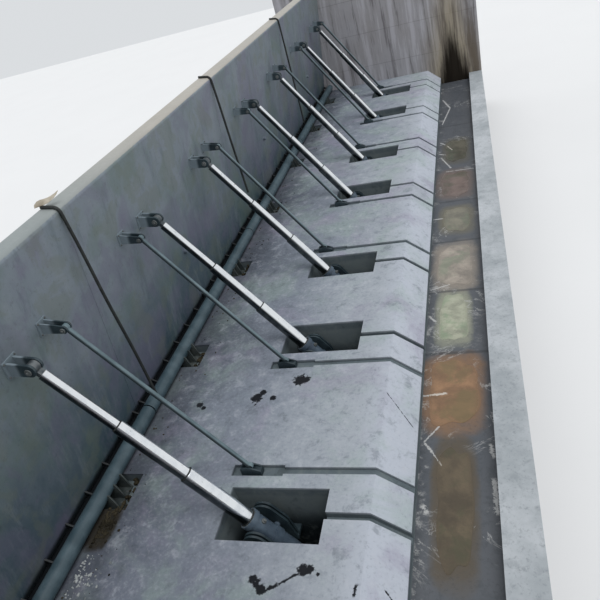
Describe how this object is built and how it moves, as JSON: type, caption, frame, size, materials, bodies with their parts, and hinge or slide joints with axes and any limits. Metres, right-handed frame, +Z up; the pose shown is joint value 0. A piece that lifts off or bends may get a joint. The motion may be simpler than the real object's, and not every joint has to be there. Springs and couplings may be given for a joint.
{
  "type": "sluice gate",
  "caption": "Bottom-hinged hydraulic flap gate: leaves in a row on telescopic cylinders and struts, over a slab with pits and a drain trench between two end walls.",
  "frame": {"origin": "middle of the underside of the foundation", "axes": "+X downstream, +Y along the hinge line towards the far end wall, +Z up"},
  "size_m": [7.362, 25.6, 6.3],
  "materials": {
    "slab_concrete": "rough lilac-grey concrete with damp blotches",
    "channel_concrete": "rough wet concrete with rusty pools",
    "wall_concrete": "rough grey-brown concrete with pale drips",
    "bearing_steel": "satin, dirty",
    "dark_steel": "satin, dark",
    "leaf_paint": "concrete under worn, satin blue-grey paint",
    "tube_paint": "satin",
    "chrome_stage": "polished",
    "barrel_paint": "satin, dark blue",
    "strut_paint": "satin",
    "rope_rubber": "matte"
  },
  "bodies": {
    "foundation": {"bay_slab_1": "slab_concrete", "bay_slab_2": "slab_concrete", "bay_slab_3": "slab_concrete", "bay_slab_4": "slab_concrete", "drain_channel": "channel_concrete", "abutment_near": "wall_concrete", "abutment_far": "wall_concrete", "hinge_bearings": "bearing_steel", "trunnion_bearings": "dark_steel", "strut_seats": "dark_steel"},
    "leaf_1": {"leaf_panel_1": "leaf_paint", "hinge_tube_1": "tube_paint", "leaf_brackets_1": "dark_steel", "joint_rope_1": "rope_rubber"},
    "rods_1_body": {"rods_1": "chrome_stage"},
    "middle_stages_1_body": {"middle_stages_1": "chrome_stage"},
    "lower_stages_1_body": {"lower_stages_1": "chrome_stage"},
    "barrels_1_body": {"barrels_1": "barrel_paint"},
    "struts_1_body": {"struts_1": "strut_paint"},
    "leaf_2": {"leaf_panel_2": "leaf_paint", "hinge_tube_2": "tube_paint", "leaf_brackets_2": "dark_steel", "joint_rope_2": "rope_rubber"},
    "rods_2_body": {"rods_2": "chrome_stage"},
    "middle_stages_2_body": {"middle_stages_2": "chrome_stage"},
    "lower_stages_2_body": {"lower_stages_2": "chrome_stage"},
    "barrels_2_body": {"barrels_2": "barrel_paint"},
    "struts_2_body": {"struts_2": "strut_paint"},
    "leaf_3": {"leaf_panel_3": "leaf_paint", "hinge_tube_3": "tube_paint", "leaf_brackets_3": "dark_steel", "joint_rope_3": "rope_rubber"},
    "rods_3_body": {"rods_3": "chrome_stage"},
    "middle_stages_3_body": {"middle_stages_3": "chrome_stage"},
    "lower_stages_3_body": {"lower_stages_3": "chrome_stage"},
    "barrels_3_body": {"barrels_3": "barrel_paint"},
    "struts_3_body": {"struts_3": "strut_paint"},
    "leaf_4": {"leaf_panel_4": "leaf_paint", "hinge_tube_4": "tube_paint", "leaf_brackets_4": "dark_steel"},
    "rods_4_body": {"rods_4": "chrome_stage"},
    "middle_stages_4_body": {"middle_stages_4": "chrome_stage"},
    "lower_stages_4_body": {"lower_stages_4": "chrome_stage"},
    "barrels_4_body": {"barrels_4": "barrel_paint"},
    "struts_4_body": {"struts_4": "strut_paint"}
  },
  "joints": [
    {"name": "leaf_hinge_1", "type": "hinge", "parent": "foundation", "child": "leaf_1", "pos_m": [-2.211, -9, 1.926], "axis": [0, 1, 0], "range_deg": [0, 78], "deforming": ["joint_rope_1"]},
    {"name": "barrel_trunnion_1", "type": "hinge", "parent": "foundation", "child": "barrels_1_body", "pos_m": [0.30832, -9, 1.31282], "axis": [0, 1, 0], "range_deg": [0, 39.1]},
    {"name": "lower_stage_slide_1", "type": "slide", "parent": "barrels_1_body", "child": "lower_stages_1_body", "axis": [0.5479, 0, -0.8366], "range_m": [0, 1.031]},
    {"name": "middle_stage_slide_1", "type": "slide", "parent": "lower_stages_1_body", "child": "middle_stages_1_body", "axis": [0.5479, 0, -0.8366], "range_m": [0, 1.051]},
    {"name": "rod_pin_1", "type": "hinge", "parent": "leaf_1", "child": "rods_1_body", "pos_m": [-1.76607, -9, 4.48041], "axis": [0, 1, 0], "range_deg": [-39.1, 0]},
    {"name": "strut_pin_1", "type": "hinge", "parent": "leaf_1", "child": "struts_1_body", "pos_m": [-1.72176, -9, 4.52036], "axis": [0, 1, 0], "range_deg": [-134.1, 0]},
    {"name": "leaf_hinge_2", "type": "hinge", "parent": "foundation", "child": "leaf_2", "pos_m": [-2.211, -3, 1.926], "axis": [0, 1, 0], "range_deg": [0, 78], "deforming": ["joint_rope_2"]},
    {"name": "barrel_trunnion_2", "type": "hinge", "parent": "foundation", "child": "barrels_2_body", "pos_m": [0.30832, -3, 1.31282], "axis": [0, 1, 0], "range_deg": [0, 39.1]},
    {"name": "lower_stage_slide_2", "type": "slide", "parent": "barrels_2_body", "child": "lower_stages_2_body", "axis": [0.5479, 0, -0.8366], "range_m": [0, 1.031]},
    {"name": "middle_stage_slide_2", "type": "slide", "parent": "lower_stages_2_body", "child": "middle_stages_2_body", "axis": [0.5479, 0, -0.8366], "range_m": [0, 1.051]},
    {"name": "rod_pin_2", "type": "hinge", "parent": "leaf_2", "child": "rods_2_body", "pos_m": [-1.76607, -3, 4.48041], "axis": [0, 1, 0], "range_deg": [-39.1, 0]},
    {"name": "strut_pin_2", "type": "hinge", "parent": "leaf_2", "child": "struts_2_body", "pos_m": [-1.72176, -3, 4.52036], "axis": [0, 1, 0], "range_deg": [-134.1, 0]},
    {"name": "leaf_hinge_3", "type": "hinge", "parent": "foundation", "child": "leaf_3", "pos_m": [-2.211, 3, 1.926], "axis": [0, 1, 0], "range_deg": [0, 78], "deforming": ["joint_rope_3"]},
    {"name": "barrel_trunnion_3", "type": "hinge", "parent": "foundation", "child": "barrels_3_body", "pos_m": [0.30832, 3, 1.31282], "axis": [0, 1, 0], "range_deg": [0, 39.1]},
    {"name": "lower_stage_slide_3", "type": "slide", "parent": "barrels_3_body", "child": "lower_stages_3_body", "axis": [0.5479, 0, -0.8366], "range_m": [0, 1.031]},
    {"name": "middle_stage_slide_3", "type": "slide", "parent": "lower_stages_3_body", "child": "middle_stages_3_body", "axis": [0.5479, 0, -0.8366], "range_m": [0, 1.051]},
    {"name": "rod_pin_3", "type": "hinge", "parent": "leaf_3", "child": "rods_3_body", "pos_m": [-1.76607, 3, 4.48041], "axis": [0, 1, 0], "range_deg": [-39.1, 0]},
    {"name": "strut_pin_3", "type": "hinge", "parent": "leaf_3", "child": "struts_3_body", "pos_m": [-1.72176, 3, 4.52036], "axis": [0, 1, 0], "range_deg": [-134.1, 0]},
    {"name": "leaf_hinge_4", "type": "hinge", "parent": "foundation", "child": "leaf_4", "pos_m": [-2.211, 9, 1.926], "axis": [0, 1, 0], "range_deg": [0, 78]},
    {"name": "barrel_trunnion_4", "type": "hinge", "parent": "foundation", "child": "barrels_4_body", "pos_m": [0.30832, 9, 1.31282], "axis": [0, 1, 0], "range_deg": [0, 39.1]},
    {"name": "lower_stage_slide_4", "type": "slide", "parent": "barrels_4_body", "child": "lower_stages_4_body", "axis": [0.5479, 0, -0.8366], "range_m": [0, 1.031]},
    {"name": "middle_stage_slide_4", "type": "slide", "parent": "lower_stages_4_body", "child": "middle_stages_4_body", "axis": [0.5479, 0, -0.8366], "range_m": [0, 1.051]},
    {"name": "rod_pin_4", "type": "hinge", "parent": "leaf_4", "child": "rods_4_body", "pos_m": [-1.76607, 9, 4.48041], "axis": [0, 1, 0], "range_deg": [-39.1, 0]},
    {"name": "strut_pin_4", "type": "hinge", "parent": "leaf_4", "child": "struts_4_body", "pos_m": [-1.72176, 9, 4.52036], "axis": [0, 1, 0], "range_deg": [-134.1, 0]}
  ],
  "couplings": [
    {"joint": "barrel_trunnion_1", "follows": "leaf_hinge_1", "ratio": 0.5},
    {"joint": "lower_stage_slide_1", "follows": "leaf_hinge_1", "m_per_rad": 0.7566},
    {"joint": "middle_stage_slide_1", "follows": "leaf_hinge_1", "m_per_rad": 0.77129},
    {"joint": "rod_pin_1", "follows": "leaf_hinge_1", "ratio": -0.5},
    {"joint": "strut_pin_1", "follows": "leaf_hinge_1", "ratio": -1.7179},
    {"joint": "barrel_trunnion_2", "follows": "leaf_hinge_2", "ratio": 0.5},
    {"joint": "lower_stage_slide_2", "follows": "leaf_hinge_2", "m_per_rad": 0.7566},
    {"joint": "middle_stage_slide_2", "follows": "leaf_hinge_2", "m_per_rad": 0.77129},
    {"joint": "rod_pin_2", "follows": "leaf_hinge_2", "ratio": -0.5},
    {"joint": "strut_pin_2", "follows": "leaf_hinge_2", "ratio": -1.7179},
    {"joint": "barrel_trunnion_3", "follows": "leaf_hinge_3", "ratio": 0.5},
    {"joint": "lower_stage_slide_3", "follows": "leaf_hinge_3", "m_per_rad": 0.7566},
    {"joint": "middle_stage_slide_3", "follows": "leaf_hinge_3", "m_per_rad": 0.77129},
    {"joint": "rod_pin_3", "follows": "leaf_hinge_3", "ratio": -0.5},
    {"joint": "strut_pin_3", "follows": "leaf_hinge_3", "ratio": -1.7179},
    {"joint": "barrel_trunnion_4", "follows": "leaf_hinge_4", "ratio": 0.5},
    {"joint": "lower_stage_slide_4", "follows": "leaf_hinge_4", "m_per_rad": 0.7566},
    {"joint": "middle_stage_slide_4", "follows": "leaf_hinge_4", "m_per_rad": 0.77129},
    {"joint": "rod_pin_4", "follows": "leaf_hinge_4", "ratio": -0.5},
    {"joint": "strut_pin_4", "follows": "leaf_hinge_4", "ratio": -1.7179}
  ]
}
